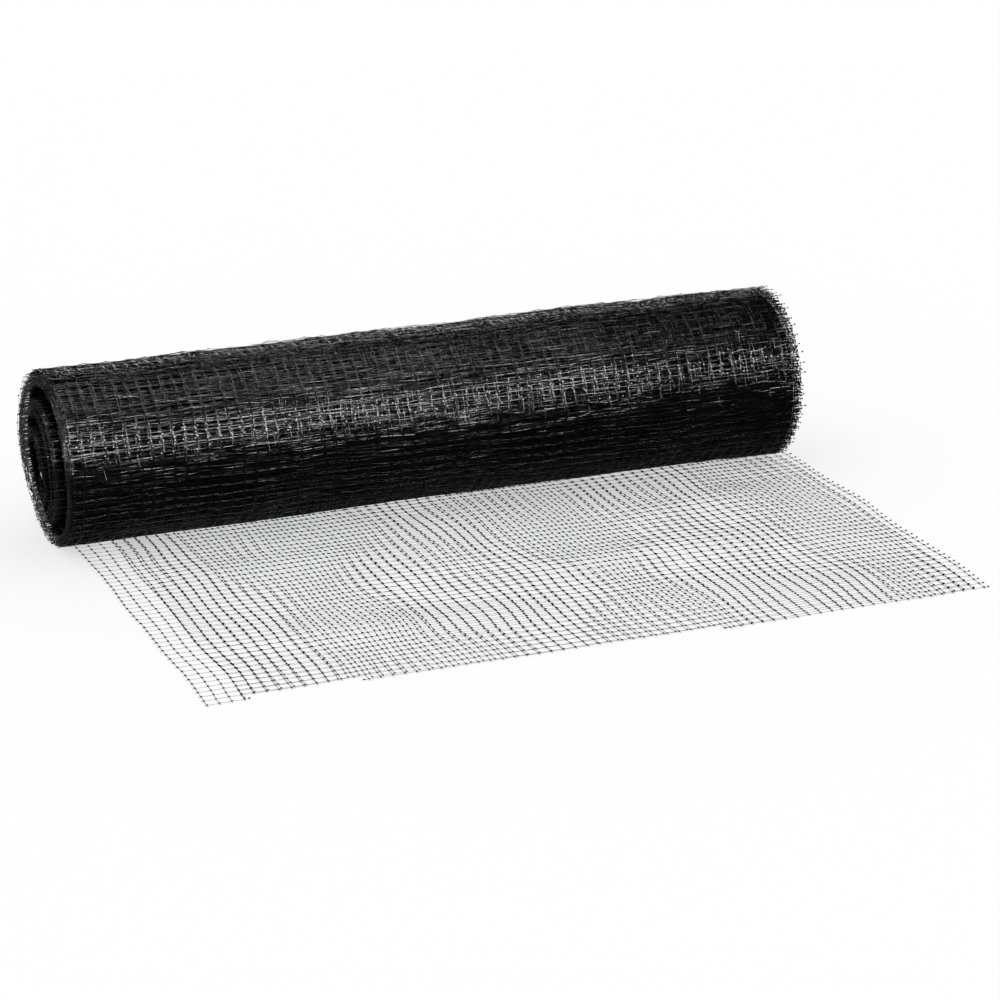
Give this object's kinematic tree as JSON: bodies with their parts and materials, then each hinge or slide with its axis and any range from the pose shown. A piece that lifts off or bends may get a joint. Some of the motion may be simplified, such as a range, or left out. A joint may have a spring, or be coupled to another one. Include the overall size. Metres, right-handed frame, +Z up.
{
  "type": "roll of mole netting",
  "caption": "Roll of black plastic mole netting, loosely wound round a hollow middle, with its doubled loose end drawn out flat in front.",
  "frame": {"origin": "on the floor, under the middle of the whole part's box", "axes": "+X along the roll's axis, -Y towards the cut edge of the loose end, +Z up"},
  "size_m": [1.0774, 0.725, 0.2353],
  "materials": {
    "netting": "glossy black extruded plastic"
  },
  "bodies": {
    "root": {"net_roll": "netting", "net_flap": "netting"}
  },
  "joints": []
}
